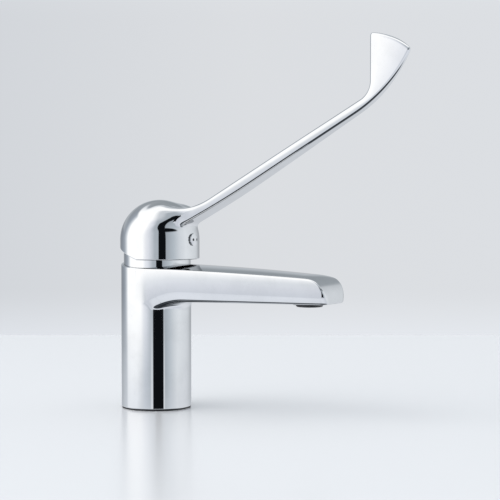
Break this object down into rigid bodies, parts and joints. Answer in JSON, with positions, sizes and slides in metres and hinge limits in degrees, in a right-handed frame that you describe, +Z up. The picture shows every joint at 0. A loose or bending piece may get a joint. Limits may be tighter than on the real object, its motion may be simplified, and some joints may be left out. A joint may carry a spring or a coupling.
{
  "type": "elbow lever basin tap",
  "caption": "Single-hole basin mixer tap with a fixed spout and a long elbow lever that ends in an upright fin, on a round body with a deck fixing.",
  "frame": {"origin": "on the axis of the round body, on the deck plane that the base gasket rests on", "axes": "+X along the spout towards its tip, +Y across the tap to the left of someone behind it who looks along the spout, +Z up out of the deck"},
  "size_m": [0.2069, 0.0522, 0.3005],
  "materials": {
    "chrome": "mirror polished chrome plate",
    "brass": "turned, bare",
    "steel": "zinc plated",
    "black_rubber": "matt moulded",
    "ceramic": "lapped",
    "cartridge_plastic": "moulded",
    "dark_plastic": "moulded",
    "dark_dot": "glossy inlay"
  },
  "bodies": {
    "mixer": {"mixer_body": "chrome", "base_gasket": "black_rubber", "fixing_stud": "steel", "clamp_washer": "black_rubber", "clamp_plate": "steel", "fixing_nut": "brass", "cartridge_base": "cartridge_plastic", "cartridge_seals": "black_rubber", "fixed_ceramic_disc": "ceramic", "cartridge_housing": "cartridge_plastic", "housing_seal": "black_rubber", "cartridge_nut": "brass", "neck_ring": "chrome", "neck_ring_seal": "black_rubber", "aerator_housing": "brass", "aerator_insert": "dark_plastic", "aerator_seal": "black_rubber"},
    "swivel": {"cartridge_rotor": "cartridge_plastic", "pivot_pin": "steel"},
    "slider": {"moving_ceramic_disc": "ceramic", "disc_carrier": "cartridge_plastic"},
    "lever": {"handle": "chrome", "lever_stem": "steel", "handle_set_screw": "steel", "index_plug": "chrome", "hot_dot": "dark_dot", "cold_dot": "dark_dot"}
  },
  "joints": [
    {"name": "temperature_swing", "type": "hinge", "parent": "mixer", "child": "swivel", "pos_m": [0.0009, 0, 0.09], "axis": [0, 0, 1], "range_deg": [-50, 50]},
    {"name": "lever_lift", "type": "hinge", "parent": "swivel", "child": "lever", "pos_m": [0.0009, 0, 0.09752], "axis": [0, -1, 0], "range_deg": [0, 25]},
    {"name": "disc_slide", "type": "slide", "parent": "swivel", "child": "slider", "axis": [1, 0, 0], "range_m": [0, 0.00475]}
  ],
  "couplings": [
    {"joint": "disc_slide", "follows": "lever_lift", "m_per_rad": 0.010654}
  ]
}
